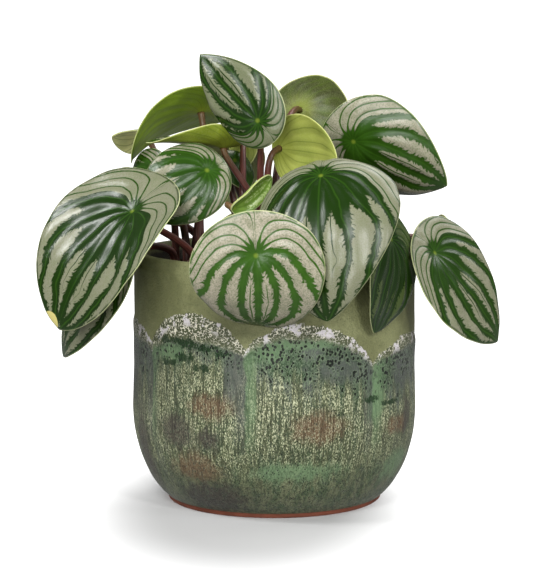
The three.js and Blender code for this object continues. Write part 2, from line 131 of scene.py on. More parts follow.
LEAVES = [
    Leaf("front_round", at=(-9, -107, 142), faces=6, tilt=3, roll=4, length=76, width=68, heel_share=0.29,
         taper=1.5, arch=69, hook=27, heel=9, left=12, right=26, twist=-12, root=(-5, -10), rise=18,
         reach=70),
    Leaf("front_drape", at=(23, -66, 178), faces=-21, tilt=51, roll=11, length=107, width=84,
         heel_share=0.25, taper=1.6, arch=59, hook=14, heel=60, left=42, right=54, twist=1, root=(4, -4),
         rise=21, reach=5),
    Leaf("left_large", at=(-73, -45, 158), faces=-43, tilt=42, roll=-24, length=100, width=84,
         heel_share=0.26, taper=1.4, arch=28, hook=16, heel=17, left=-18, right=-15, twist=16,
         root=(-42, -10), rise=11, reach=11),
    Leaf("left_under", at=(-85, -28, 139), faces=-59, tilt=25, roll=-22, length=86, width=64,
         heel_share=0.2, taper=1.4, arch=14, hook=10, heel=14, left=28, right=24, twist=-5, root=(-53, -4),
         rise=14, reach=9),
    Leaf("left_round", at=(-35, -22, 177), faces=11, tilt=32, roll=-65, length=55, width=45,
         heel_share=0.22, taper=1.3, arch=53, hook=20, heel=23, left=23, right=21, twist=3, root=(-39, -4),
         rise=20, reach=36),
    Leaf("top", at=(-9, -30, 203), faces=-21, tilt=2, roll=-133, length=65, width=39, heel_share=0.22,
         taper=1.8, arch=20, hook=2, heel=20, left=42, right=18, twist=-4, root=(-8, -4), rise=23, reach=5),
    Leaf("right_upper", at=(42, 14, 189), faces=-20, tilt=-16, roll=60, length=76, width=62,
         heel_share=0.26, taper=1.6, arch=18, hook=6, heel=29, left=42, right=43, twist=-12, root=(37, 19),
         rise=6, reach=62),
    Leaf("lime_right", at=(3, -6, 187), faces=150, tilt=5, roll=-87, length=47, width=41, heel_share=0.1,
         taper=1.5, arch=27, hook=10, heel=16, left=22, right=22, twist=3, root=(-2, -1), rise=22,
         reach=19),
    Leaf("right_hanging", at=(84, -25, 134), faces=51, tilt=26, roll=38, length=82, width=64,
         heel_share=0.2, taper=1.6, arch=14, hook=7, heel=12, left=1, right=3, twist=-7, root=(24, 13),
         rise=37, reach=5),
    Leaf("right_shaded", at=(60, -50, 144), faces=65, tilt=16, roll=-17, length=69, width=54,
         heel_share=0.27, taper=1.6, arch=41, hook=2, heel=15, left=1, right=-1, twist=-4, root=(31, -10),
         rise=18, reach=16),
    Leaf("lime_rolled", at=(-27, 0, 188), faces=-165, tilt=77, roll=89, length=51, width=39,
         heel_share=0.18, taper=1.8, arch=-20, hook=26, heel=-2, left=-64, right=-38, twist=16, root=(5, 4),
         rise=14, reach=5),
    Leaf("olive_left", at=(-40, 28, 205), faces=-156, tilt=63, roll=73, length=72, width=60,
         heel_share=0.28, taper=1.5, arch=46, hook=29, heel=17, left=-10, right=-10, twist=-2,
         root=(-43, 15), rise=20, reach=37),
    Leaf("olive_right", at=(14, 61, 203), faces=164, tilt=-25, roll=-62, length=62, width=49,
         heel_share=0.27, taper=1.4, arch=55, hook=15, heel=38, left=42, right=39, twist=-8, root=(-1, 8),
         rise=77, reach=5),
    Leaf("far_left", at=(-71, 55, 191), faces=-131, tilt=55, roll=87, length=35, width=28, heel_share=0.28,
         taper=1.7, arch=-6, hook=12, heel=20, left=44, right=45, twist=2, root=(-47, 10), rise=21,
         reach=33),
    Leaf("young_folded", at=(-20, -45, 159), faces=52, tilt=-14, roll=130, length=29, width=17,
         heel_share=0.08, taper=1.1, arch=-18, hook=0, heel=0, left=-66, right=-66, twist=0, root=(-15, -8),
         rise=32, reach=10),
    Leaf("small_inner", at=(-21, 22, 179), faces=31, tilt=34, roll=6, length=26, width=21, heel_share=0.29,
         taper=1.4, arch=10, hook=6, heel=33, left=33, right=34, twist=-1, root=(-16, 16), rise=14,
         reach=15),
    Leaf("small_left", at=(-63, -1, 172), faces=-36, tilt=7, roll=-65, length=45, width=37, heel_share=0.24,
         taper=1.4, arch=56, hook=25, heel=13, left=27, right=29, twist=0, root=(-53, 13), rise=35,
         reach=6),
    Leaf("lime_small", at=(-17, 36, 190), faces=180, tilt=8, roll=0, length=24, width=17, heel_share=0.28,
         taper=1.4, arch=16, hook=11, heel=13, left=26, right=27, twist=0, root=(-17, -1), rise=47,
         reach=5),
    Leaf("rear_left", at=(-92, 40, 160), faces=-115, tilt=35, roll=14, length=78, width=64, heel_share=0.25,
         taper=1.4, arch=34, hook=14, heel=18, left=24, right=24, twist=4, root=(-37, 18), rise=22,
         reach=16),
    Leaf("rear_hanging", at=(-9, 93, 134), faces=-174, tilt=34, roll=-4, length=82, width=64,
         heel_share=0.25, taper=1.5, arch=36, hook=16, heel=16, left=22, right=26, twist=-4, root=(-29, -1),
         rise=34, reach=5),
    Leaf("rear_right", at=(45, 80, 146), faces=150, tilt=40, roll=8, length=80, width=58, heel_share=0.25,
         taper=1.4, arch=38, hook=16, heel=18, left=26, right=24, twist=5, root=(30, 18), rise=22, reach=5),
    Leaf("rear_side", at=(99, 30, 137), faces=104, tilt=30, roll=-8, length=58, width=46, heel_share=0.25,
         taper=1.5, arch=22, hook=10, heel=14, left=20, right=20, twist=0, root=(46, 11), rise=19, reach=5),
    Leaf("rear_upper", at=(-28, 66, 184), faces=-172, tilt=54, roll=-8, length=58, width=46,
         heel_share=0.25, taper=1.4, arch=34, hook=12, heel=16, left=24, right=24, twist=0, root=(-9, 18),
         rise=22, reach=18),
]

# ---- Where the looks of single leaves differ ----
@dataclass
class Stripes:
    """The green stripes of one blade. Veins are named by the angle at which they leave the petiole."""

    band: float = 5.0  # width of a stripe halfway along
    pool: float = 12  # how far the stripes widen and merge round the petiole
    main: tuple = (36, 70, 100)  # wide stripes on each side of the midrib
    heel: tuple = (122, 143, 163)  # fine lines that loop back over the heel
    # of the green: 0 dark, 1 bright, 2 the fresh lime of a young leaf; below 0 the silver is dulled as
    # painted shade
    tone: float = 0.4
    puff: float = 1.0  # how strongly the blade swells between its veins
    meet: float = 1.0  # where the veins meet again, as a share of the way to the tip
    flaw: tuple = (0, 0, -90)  # a scar: (across, along, radius) on the flat blade


STRIPES = {
    "front_round": Stripes(band=3.6, pool=9, main=(42, 78, 112), heel=(138, 154, 168), tone=0.9, meet=0.84),
    "front_drape": Stripes(band=4.8, pool=36, main=(38, 72, 104), tone=0.0),
    "left_large": Stripes(band=6.6, pool=37, main=(38, 72, 106), heel=(132, 150, 166), tone=0.0,
                          flaw=(7, 73, 6)),
    "left_under": Stripes(tone=0.1),
    "left_round": Stripes(band=4.0, pool=19, main=(42, 76, 104)),
    "top": Stripes(band=3.6, pool=10, main=(38, 74, 106), tone=-0.25),
    "right_upper": Stripes(band=4.4, pool=18, main=(36, 68, 100), tone=0.5),
    "right_hanging": Stripes(band=5.4, pool=22, main=(36, 68, 98), tone=0.2),
    "right_shaded": Stripes(band=5.4, pool=30, tone=-0.9),
    "lime_right": Stripes(puff=0.5),
    "lime_rolled": Stripes(puff=0.3),
    "olive_left": Stripes(puff=0.25),
    "olive_right": Stripes(puff=0.5),
    "far_left": Stripes(puff=0.5),
    "young_folded": Stripes(band=2.0, pool=8, tone=2, puff=0.5),
}
UNDER_STRIPED = (128, 134, 92)  # colour of the lower face
UNDERSIDES = {
    "lime_right": (176, 184, 88),
    "lime_rolled": (136, 150, 40),
    "olive_left": (132, 164, 24),
    "olive_right": (50, 54, 26),
    # Painted light: far_left's lower face is near white, the glow of light shining through the blade.
    "far_left": (242, 240, 170),
    "lime_small": (150, 160, 80),
    "young_folded": (150, 178, 92),
}


# ---- Small helpers ----
def linear(red, green, blue):
    """A linear colour from its 0-255 sRGB numbers."""
    values = np.array([red, green, blue]) / 255
    lit = np.where(values <= 0.04045, values / 12.92, ((values + 0.055) / 1.055) ** 2.4)
    return (*(float(v) for v in lit), 1.0)


def unit(vector):
    return vector / np.linalg.norm(vector, axis=-1, keepdims=True)


def smooth(value, low, high):
    """0 at low and 1 at high, with an eased step between them."""
    share = np.clip((value - low) / (high - low), 0, 1)
    return share * share * (3 - 2 * share)


def turns(count):
    """Angles that divide a full turn."""
    return np.linspace(0, 2 * math.pi, count, endpoint=False)


def bezier(controls, count):
    """Points along the cubic curve with the four controls."""
    t = np.linspace(0, 1, count)[:, None]
    weights = [(1 - t) ** 3, 3 * t * (1 - t) ** 2, 3 * t**2 * (1 - t), t**3]
    return sum(weight * np.array(control, float) for weight, control in zip(weights, controls))


def ripples(points, size, seed, waves=14):
    """Smooth bumps from -1 to 1 over points, about size across, from a seeded sum of plane waves."""
    draw = np.random.default_rng(seed)
    directions = unit(draw.normal(size=(waves, points.shape[-1])))
    pitches = 2 * math.pi / (size * draw.uniform(0.7, 1.9, waves))
    phases = draw.uniform(0, 2 * math.pi, waves)
    total = np.sin(points @ directions.T * pitches + phases).sum(-1)
    return np.clip(total / math.sqrt(waves), -1.6, 1.6) / 1.6


def placed(name, data):
    holder = bpy.data.objects.new(name, data)
    bpy.context.scene.collection.objects.link(holder)
    return holder


def mesh_object(name, points, faces, attributes=(), materials=(), material_of_face=None):
    """A smooth-shaded mesh from points in millimetres.

    attributes holds pairs of a name and one value or vector for each point.
    """
    mesh = bpy.data.meshes.new(name)
    mesh.from_pydata((np.asarray(points) * MM).tolist(), [], faces)
    for title, values in attributes:
        values = np.asarray(values, np.float32)
        if values.ndim == 1:
            mesh.attributes.new(title, "FLOAT", "POINT").data.foreach_set("value", values)
        else:
            mesh.attributes.new(title, "FLOAT_VECTOR", "POINT").data.foreach_set("vector", values.ravel())
    for material in materials:
        mesh.materials.append(material)
    if material_of_face is not None:
        mesh.polygons.foreach_set("material_index", np.asarray(material_of_face, np.int32))
    mesh.polygons.foreach_set("use_smooth", np.ones(len(mesh.polygons), bool))
    mesh.update()
    return placed(name, mesh)


def stand_for(piece, node):
    """Makes the piece ride on the part and show instead of its CAD node."""
    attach(piece, "root")
    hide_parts(node)


def net(rings, sides, start=0):
    """Quads between rings of points, each of so many sides, numbered from start."""
    quads = []
    for first in range(start, start + (rings - 1) * sides, sides):
        for side in range(sides):
            here = first + side
            beside = first + (side + 1) % sides
            quads.append((here, beside, beside + sides, here + sides))
    return quads


def disc(rings, sides):
    """Upward faces of a disc: point 0 in the middle, and rings of points round it."""
    fan = [(0, 1 + side, 1 + (side + 1) % sides) for side in range(sides)]
    return fan + [quad[::-1] for quad in net(rings, sides, start=1)]


def cap(start, end):
    """One face round the points from start up to end, turned to face down."""
    return tuple(range(start, end))[::-1]


# ---- Materials from expressions of nodes ----
class Value:
    """What a node puts out. The signs of arithmetic between values make further nodes."""

    def __init__(self, socket):
        self.socket = socket

    def __add__(self, other):
        return compute("ADD", self, other)

    def __sub__(self, other):
        return compute("SUBTRACT", self, other)

    def __rsub__(self, other):
        return compute("SUBTRACT", other, self)

    def __mul__(self, other):
        return compute("MULTIPLY", self, other)

    def __truediv__(self, other):
        return compute("DIVIDE", self, other)

    def __pow__(self, other):
        return compute("POWER", self, other)

    def __abs__(self):
        return compute("ABSOLUTE", self)

    __radd__ = __add__
    __rmul__ = __mul__


def put(socket, value):
    if isinstance(value, Value):
        socket.id_data.links.new(value.socket, socket)
    else:
        socket.default_value = value


def node(kind, inputs, output=0, tree=None, **settings):
    """One output of a new node, in the tree given or in that of its inputs."""
    if tree is None:
        tree = next(value.socket.id_data for value in inputs.values() if isinstance(value, Value))
    made = tree.nodes.new("ShaderNode" + kind)
    for title, setting in settings.items():
        setattr(made, title, setting)
    for place, value in inputs.items():
        put(made.inputs[place], value)
    return Value(made.outputs[output])


def compute(operation, *values):
    return node("Math", dict(enumerate(values)), operation=operation)


def larger(a, b):
    return compute("MAXIMUM", a, b)


def root(value):
    return compute("SQRT", value)


def split(vector):
    return [node("SeparateXYZ", {0: vector}, axis) for axis in range(3)]


def join(x, y, z):
    return node("CombineXYZ", {0: x, 1: y, 2: z})


def step(value, low, high):
    """0 at low and 1 at high, with an eased step between them. low may be above high."""
    ends = (high, low, 1.0, 0.0) if low > high else (low, high, 0.0, 1.0)
    inputs = dict(zip(RANGE_ENDS, ends))
    return node("MapRange", {"Value": value, **inputs}, "Result", interpolation_type="SMOOTHSTEP")


def noise(place, scale, detail=2.0, roughness=0.5):
    inputs = {"Vector": place, "Scale": scale, "Detail": detail, "Roughness": roughness}
    return node("TexNoise", inputs, "Fac")


def cells(place, scale, feature="F1"):
    return node("TexVoronoi", {"Vector": place, "Scale": scale}, "Distance", feature=feature)


def mix(factor, a, b):
    """Colour a where factor is 0, and b where it is 1."""
    return node("Mix", {MIX_FACTOR: factor, MIX_A: a, MIX_B: b}, MIX_RESULT, data_type="RGBA")


class Surface:
    """One material, whose colour, roughness and bump are given as expressions."""

    def __init__(self, name, roughness, specular=0.5):
        self.material = bpy.data.materials.new(name)
        self.material.use_nodes = True
        self.tree = self.material.node_tree
        self.inputs = self.tree.nodes["Principled BSDF"].inputs
        self.inputs["Roughness"].default_value = roughness
        self.inputs["Specular IOR Level"].default_value = specular

    def attribute(self, name, output="Vector"):
        return node("Attribute", {}, output, self.tree, attribute_name=name)

    def finish(self, colour, roughness=None, height=None, bump=0.5, depth=0.0004):
        """Joins the expressions to the surface. depth is how high the bumps stand, in metres."""
        put(self.inputs["Base Color"], colour)
        if roughness is not None:
            put(self.inputs["Roughness"], roughness)
        if height is not None:
            inputs = {"Strength": bump, "Distance": depth, "Height": height}
            put(self.inputs["Normal"], node("Bump", inputs))
        return self.material


# ---- Leaf shapes, by the formulas of the CAD source ----
SPOKES = 96
RING_SHARES = np.concatenate([np.linspace(0, 0.95, 24)[1:], [0.975, 0.99, 1.0]])
MIDRIB_STEPS = 24
RIM_SHARE = 0.03  # of the way in from the margin where the blade thins to its rounded edge
NUDGE = 0.05  # step for finding how a blade slopes
HEM = 0.85  # how closely the outer veins follow the margin
PUFF = 0.85  # height of the swelling between two veins
DIMPLE = 1.1  # depth of the hollow at the petiole
DIMPLE_RADIUS = 4.5
RIPPLE = 0.5  # height of the blade's unevenness
RIPPLE_SIZE = 19


def bend_blade(leaf, across, along):
    """Points of the flat blade, across from the midrib and along it from the petiole, on the bent one."""
    toward_tip = along > 0
    span = leaf.length * np.where(toward_tip, 1 - leaf.heel_share, leaf.heel_share)
    share = np.abs(along) / span

    def slope_at(s):
        return np.radians(np.where(toward_tip, leaf.arch * s + leaf.hook * s**3, leaf.heel * s))

    run = np.zeros_like(across)
    drop = np.zeros_like(across)
    for i in range(MIDRIB_STEPS):
        slope = slope_at(share * (i + 0.5) / MIDRIB_STEPS)
        run += np.cos(slope) * np.abs(along) / MIDRIB_STEPS
        drop += np.sin(slope) * np.abs(along) / MIDRIB_STEPS
    half = leaf.width / 2
    turn = np.radians(np.where(across > 0, leaf.right or 0.01, leaf.left or 0.01))
    angle = turn * np.abs(across) / half
    side = np.sign(across) * half * np.sin(angle) / turn
    sink = half * (1 - np.cos(angle)) / turn
    twist = np.radians(np.where(toward_tip, leaf.twist * share, 0))
    x = side * np.cos(twist) + sink * np.sin(twist)
    lift = side * np.sin(twist) - sink * np.cos(twist)
    slope = np.where(toward_tip, -1, 1) * slope_at(share)
    y = np.where(toward_tip, run, -run) - lift * np.sin(slope)
    return np.stack([x, y, lift * np.cos(slope) - drop], -1)


def margin(leaf, turn):
    """(across, along) of the flat blade's margin: broad and rounded at the heel, narrowing to the tip."""
    half = turn / 2
    widest = math.atan(math.sqrt(1 / leaf.taper))
    scale = math.sin(widest) * math.cos(widest) ** leaf.taper
    across = np.sin(half) * np.abs(np.cos(half)) ** leaf.taper * np.sign(np.cos(half)) / scale
    return across * leaf.width / 2, (np.sin(half) ** 2 - leaf.heel_share) * leaf.length


def blade_axes(leaf):
    """Rows: across, towards the tip, and out of the upper face."""
    bearing, tilt, roll = np.radians([leaf.faces, leaf.tilt, leaf.roll])
    outward = np.array([math.sin(bearing), -math.cos(bearing), 0])
    level = np.array([math.cos(bearing), math.sin(bearing), 0])
    facing = outward * math.cos(tilt) + UP * math.sin(tilt)
    downhill = outward * math.sin(tilt) - UP * math.cos(tilt)
    tip = downhill * math.cos(roll) + level * math.sin(roll)
    return np.array([np.cross(tip, facing), tip, facing])


def on_net(values):
    """Changes of values from ring to ring and from spoke to spoke. The spokes run right round."""
    by_ring = np.gradient(values, axis=0)
    by_spoke = (np.roll(values, -1, axis=1) - np.roll(values, 1, axis=1)) / 2
    return by_ring, by_spoke


def veins_on_net(leaf, flat, shares):
    """For the net of a flat blade: the number of the vein at each point, how far along it the point is, and
    the gap between veins, in mm. The midrib is 0, the margin is 7, and between veins there are fractions.

    Each vein leaves the petiole at its own angle and arcs to the tip. The outer ones follow the margin.
    """
    reach = leaf.to_tip
    across, along = flat[..., 0], flat[..., 1]
    from_petiole = np.hypot(across, along)
    from_tip = np.hypot(across, reach - along)
    bearing = np.degrees(np.arctan2(np.abs(across), along))
    stripes = leaf.stripes
    angle = bearing + np.degrees(np.arctan2(np.abs(across), stripes.meet * reach - along))
    hemmed = HEM * shares[:, None] ** 3 * smooth(bearing, 35, 100)
    angle = angle + (180 - angle) * hemmed
    number = np.interp(angle, (0, *stripes.main, *stripes.heel, 180), range(8))
    (x_ring, y_ring), (x_spoke, y_spoke) = (np.moveaxis(change, -1, 0) for change in on_net(flat))
    number_ring, number_spoke = on_net(number)
    area = x_ring * y_spoke - x_spoke * y_ring
    slope_x = (number_ring * y_spoke - number_spoke * y_ring) / area
    slope_y = (number_spoke * x_ring - number_ring * x_spoke) / area
    pitch = 1 / np.maximum(np.hypot(slope_x, slope_y), 0.01)
    return number, (from_petiole + reach - from_tip) / 2, np.minimum(pitch, 30)


def blade_relief(leaf, flat, number, pitch, inward):
    """How far the blade stands off its plain bent surface: out between veins, and in at the petiole."""
    from_petiole = np.linalg.norm(flat, axis=-1)
    off_vein = np.abs(number - np.round(number)) * pitch
    puff = PUFF * leaf.stripes.puff * smooth(off_vein, 0.3, 5.0) * smooth(inward, 0, 5)
    dimple = DIMPLE * np.exp(-((from_petiole / DIMPLE_RADIUS) ** 2))
    return puff - dimple + RIPPLE * ripples(flat, RIPPLE_SIZE, leaf.seed) * smooth(from_petiole, 2, 12)


def blade_piece(leaf, materials):
    """The blade as a closed sheet: a net for each of its faces, joined at the margin."""
    rim = np.stack(margin(leaf, turns(SPOKES)), -1)
    rings = rim * RING_SHARES[:, None, None]
    rim_reach = np.linalg.norm(rim, axis=1)
    inward = (1 - RING_SHARES[:, None]) * rim_reach

    def with_middle(middle, values):
        return np.concatenate([[middle], values.reshape(-1, *values.shape[2:])])

    flat = with_middle(np.zeros(2), rings)
    veins = veins_on_net(leaf, rings, RING_SHARES)
    number, way, pitch = (with_middle(0.0, values) for values in veins)
    inward = with_middle(rim_reach.min(), inward)
    across, along = flat.T
    centre = bend_blade(leaf, across, along)
    rightward = bend_blade(leaf, across + NUDGE, along) - bend_blade(leaf, across - NUDGE, along)
    tipward = bend_blade(leaf, across, along + NUDGE) - bend_blade(leaf, across, along - NUDGE)
    normal = unit(np.cross(rightward, tipward))
    centre = centre + normal * blade_relief(leaf, flat, number, pitch, inward)[:, None]
    shares = np.concatenate([[0.0], np.repeat(RING_SHARES, SPOKES)])
    half = BLADE_THICKNESS / 2 * np.sqrt(np.clip((1 - shares) / RIM_SHARE, 0, 1))
    upper = centre + normal * half[:, None]
    inner = len(centre) - SPOKES  # the margin's own ring is shared
    lower = centre[:inner] - normal[:inner] * half[:inner, None]
    points = np.concatenate([upper, lower]) @ blade_axes(leaf) + np.array(leaf.at)

    top = disc(len(RING_SHARES), SPOKES)
    offset = len(centre)

    def below(index):
        return index if index >= inner else index + offset

    under = [tuple(below(index) for index in face[::-1]) for face in top]
    stripes = leaf.stripes
    tint = linear(*UNDERSIDES.get(leaf.name, UNDER_STRIPED))[:3]
    to_flaw = np.hypot(across - stripes.flaw[0], along - stripes.flaw[1]) - stripes.flaw[2]

    def all_over(values):
        return np.tile(np.asarray(values, float), (len(flat), 1))

    def both(values):
        return np.concatenate([values, values[:inner]])

    attributes = [
        ("flat", both(np.column_stack([flat, np.full(len(flat), leaf.seed)]))),
        ("veins", both(np.column_stack([number, way, pitch]))),
        ("reach", both(np.column_stack([np.hypot(across, along), way / leaf.to_tip, inward]))),
        ("traits", both(all_over([stripes.band, stripes.pool, stripes.tone]))),
        ("tint", both(all_over(tint))),
        ("flaw", both(to_flaw)),
    ]
    sides = [0] * len(top) + [1] * len(under)
    return mesh_object(f"leaf_{leaf.name}", points, top + under, attributes, materials, sides)


# ---- Leaf materials ----
TOOTH_PITCH = 2.9
TOOTH_DEPTH = 2.0
TOOTH_JITTER = 3.4
TOOTH_LEAN = 0.4
GREEN_DARK = linear(22, 46, 4)
GREEN = linear(54, 92, 22)
SILVER = linear(172, 164, 146)
SILVER_LOW = linear(126, 126, 106)
SILVER_GREEN = linear(106, 114, 82)
SHADE_DULLED_SILVER = linear(58, 76, 26)
FRESH = linear(124, 158, 66)
FRESH_PALE = linear(168, 190, 120)
MARGIN = linear(196, 202, 150)
SPOT = linear(188, 204, 70)
STRAW = linear(196, 186, 116)
UNDER_MOTTLE = linear(96, 120, 36)
UNDER_GRAIN = linear(206, 208, 150)
UNDER_HALO = linear(92, 116, 30)
UNDER_VEIN = linear(84, 104, 30)
UNDER_MIDDLE = linear(170, 180, 60)
UNDER_RIM = linear(206, 208, 140)


def teeth(way, off_vein, place):
    """Depth of the teeth along a stripe's edge, in mm: pointed, uneven and leaning towards the tip."""
    jitter = (noise(place, 0.22, 2) - 0.5) * TOOTH_JITTER
    phase = way / TOOTH_PITCH - off_vein * TOOTH_LEAN
    point = compute("PINGPONG", compute("FRACT", phase + jitter), 0.5)
    depth = (point * 2.0) ** 1.6 * TOOTH_DEPTH
    return depth * step(noise(place, 0.3, 2), 0.3, 0.68)


def striped_material():
    """Silver between green stripes that follow the veins and merge round the petiole."""
    surface = Surface("striped_blade", roughness=0.3, specular=0.32)
    place = surface.attribute("flat")
    number, way, pitch = split(surface.attribute("veins"))
    from_petiole, share, inward = split(surface.attribute("reach"))
    band, pool, tone = split(surface.attribute("traits"))
    drift = noise(place, 0.045, 2) - 0.5
    number += drift * step(number, 0.0, 0.8)
    nearest = compute("ROUND", number)
    off_vein = abs(number - nearest) * pitch
    grain = noise(place, 1.5, 3, 0.65)
    cloud = noise(place, 0.13, 3)

    # Wide stripes on the midrib and the three veins beside it.
    half_width = band * compute("MULTIPLY_ADD", share, -0.2, 0.56)
    half_width *= compute("MULTIPLY_ADD", nearest, -0.1, 1.0)
    half_width += larger(pool - from_petiole, 0.0) * 0.32
    ragged = teeth(way, off_vein, place) + (grain - 0.5) * 1.8
    inside = half_width - off_vein + ragged
    stripe = step(inside, -0.5, 0.4) * step(nearest, 3.6, 3.4)

    # Fine lines over the heel, and halfway between the midrib and the first stripe.
    fine_half = 0.42 + larger(10.0 - from_petiole, 0.0) * 0.13
    fine = fine_half - off_vein + (grain - 0.5) * 0.7
    heel_line = step(fine, -0.2, 0.2) * step(nearest, 3.4, 3.6)
    off_half = abs(number - 0.5) * pitch
    half_vein = step(0.3 - off_half + drift * 1.2, -0.15, 0.2)
    half_vein *= step(share, 0.2, 0.35) * step(share, 0.8, 0.6)
    round_petiole = compute("MINIMUM", pool * 0.4, 7.0) - from_petiole + (grain - 0.5) * 3.0
    round_petiole = step(round_petiole, -1.2, 1.2)
    green = larger(larger(stripe, half_vein), larger(heel_line, round_petiole))
    green_rim = step(inward, 1.9, 0.9) * step(cloud, 0.4, 0.5)
    green = larger(green, green_rim * 0.8)

    silver = mix(tone, SILVER_LOW, SILVER)
    silver = mix(step(grain, 0.6, 0.34) * 0.8, silver, SILVER_GREEN)
    silver = mix(step(cloud, 0.45, 0.7) * 0.35, silver, SILVER_GREEN)
    # Painted shade: a tone below 0 darkens and dulls the silver.
    silver = mix(tone * -1.0, silver, SHADE_DULLED_SILVER)
    leaf_green = mix(tone, GREEN_DARK, GREEN)
    young = tone - 1.0
    leaf_green = mix(young, leaf_green, FRESH)
    silver = mix(young, silver, FRESH_PALE)
    leaf_green = mix(step(cloud, 0.3, 0.7) * 0.4, leaf_green, GREEN_DARK)
    leaf_green = mix(step(off_vein, 0.7, 0.1) * 0.35, leaf_green, GREEN)
    colour = mix(green, silver, leaf_green)
    colour = mix(step(inward, 0.6, 0.25) * 0.8, colour, MARGIN)
    colour = mix(step(from_petiole, 1.8, 0.4) * 0.2, colour, SPOT)
    colour = mix(step(surface.attribute("flaw", "Fac"), 0.3, -0.3), colour, STRAW)

    pebble = noise(place, 1.1, 3, 0.7)
    height = pebble * 0.8 + green * -0.3
    roughness = grain * 0.14 + 0.17
    return surface.finish(colour, roughness, height, bump=0.3, depth=0.0004)


def underside_material():
    """The pale lower face, with its veins showing as faint lines."""
    surface = Surface("blade_underside", roughness=0.5, specular=0.3)
    place = surface.attribute("flat")
    number, _, pitch = split(surface.attribute("veins"))
    from_petiole, _, inward = split(surface.attribute("reach"))
    drift = noise(place, 0.045, 2) - 0.5
    number += drift * step(number, 0.0, 0.8)
    off_vein = abs(number - compute("ROUND", number)) * pitch
    tint = surface.attribute("tint", "Color")
    line = step(off_vein, 0.5, 0.15)
    halo = step(off_vein, 4.0, 0.8)
    cloud = noise(place, 0.09, 3)
    grain = noise(place, 1.6, 3, 0.6)
    colour = mix(step(cloud, 0.35, 0.7) * 0.3, tint, UNDER_MOTTLE)
    colour = mix(step(grain, 0.4, 0.7) * 0.15, colour, UNDER_GRAIN)
    colour = mix(halo * 0.15, colour, UNDER_HALO)
    colour = mix(line * 0.4, colour, UNDER_VEIN)
    colour = mix(step(from_petiole, 14.0, 3.0) * 0.3, colour, UNDER_MIDDLE)
    colour = mix(step(inward, 0.7, 0.3) * 0.6, colour, UNDER_RIM)
    height = grain * 0.3 + halo * 0.5
    roughness = grain * 0.15 + 0.4
    return surface.finish(colour, roughness, height, bump=0.35, depth=0.0004)


# ---- Petioles ----
STEM_SIDES = 16
STEM_STEP = 2.5
STEM_NECK = 1.2  # the last bit, square to the blade
STEM_FOOT_POINTS = 8
STEM_SAMPLES = 400  # of the curve, before it is divided evenly
STEM_FLARE = 0.5  # how much wider the stem ends at the blade
STEM_FLARE_REACH = 2.5
STEM_RIBS = 5
RIB_SHARE = 0.025  # of the radius
SWELL_SHARE = 0.03
SWELL_SIZE = 14
STEM_DARK = linear(58, 30, 24)
STEM_RED = linear(108, 60, 52)
STEM_GREEN = linear(132, 118, 60)
STEM_FOOT = linear(48, 26, 20)
STEM_FLECK = linear(170, 130, 110)


def petiole_line(leaf):
    """Points from the foot of the stem's hole to the seat under its blade, about STEM_STEP apart."""
    x, y = leaf.root
    facing = blade_axes(leaf)[2]
    end = np.array(leaf.at) - facing * (DIMPLE + 0.3)  # inside the blade, under the dimple
    neck = end - facing * STEM_NECK
    foot = np.array([x, y, SOIL_EDGE_HEIGHT - STEM_DEPTH], float)
    start = np.array([x, y, SOIL_CROWN_HEIGHT + STEM_UPRIGHT], float)
    controls = [start, start + UP * leaf.rise, neck - facing * leaf.reach, neck]
    sweep = bezier(controls, STEM_SAMPLES)
    line = np.concatenate([np.linspace(foot, start, STEM_FOOT_POINTS)[:-1], sweep])
    lengths = np.concatenate([[0], np.cumsum(np.linalg.norm(np.diff(line, axis=0), axis=1))])
    count = int(lengths[-1] / STEM_STEP)
    stations = np.linspace(0, lengths[-1], count + 1)
    even = np.column_stack([np.interp(stations, lengths, line[:, axis]) for axis in range(3)])
    return np.vstack([even, end])


def tube(line, radii, sides):
    """(points, faces) of a round tube along a line, closed at both ends."""
    tangents = unit(np.gradient(line, axis=0))
    normal = np.array([1.0, 0.0, 0.0])
    angles = turns(sides)
    points = []
    for centre, tangent, radius in zip(line, tangents, radii):
        normal = unit(normal - tangent * (normal @ tangent))
        binormal = np.cross(tangent, normal)
        ring = np.outer(np.cos(angles), normal) + np.outer(np.sin(angles), binormal)
        points.append(centre + ring * np.reshape(radius, (-1, 1)))
    faces = net(len(line), sides)
    end = len(line) * sides
    return np.concatenate(points), faces + [cap(0, sides), cap(end - sides, end)[::-1]]


def petiole_piece(leaf, material):
    """A slightly ribbed stem, thicker at its foot and flaring into the blade."""
    line = petiole_line(leaf)
    share = np.linspace(0, 1, len(line))
    radii = STEM_ROOT_RADIUS + (STEM_TIP_RADIUS - STEM_ROOT_RADIUS) * share
    to_blade = (len(line) - 1 - np.arange(len(line))) * STEM_STEP
    radii = radii + STEM_FLARE * np.exp(-to_blade / STEM_FLARE_REACH)
    angles = turns(STEM_SIDES)
    ribs = 1 + RIB_SHARE * np.cos(STEM_RIBS * angles + leaf.seed)
    swell = 1 + SWELL_SHARE * ripples(line, SWELL_SIZE, leaf.seed + 50)
    points, faces = tube(line, radii[:, None] * swell[:, None] * ribs, STEM_SIDES)
    along = np.repeat(share, STEM_SIDES)
    around = np.tile(angles, len(line))
    attributes = [("stem", np.column_stack([np.cos(around), np.sin(around), along * len(line)])),
                  ("rise", along)]
    return mesh_object(f"stem_{leaf.name}", points, faces, attributes, [material])


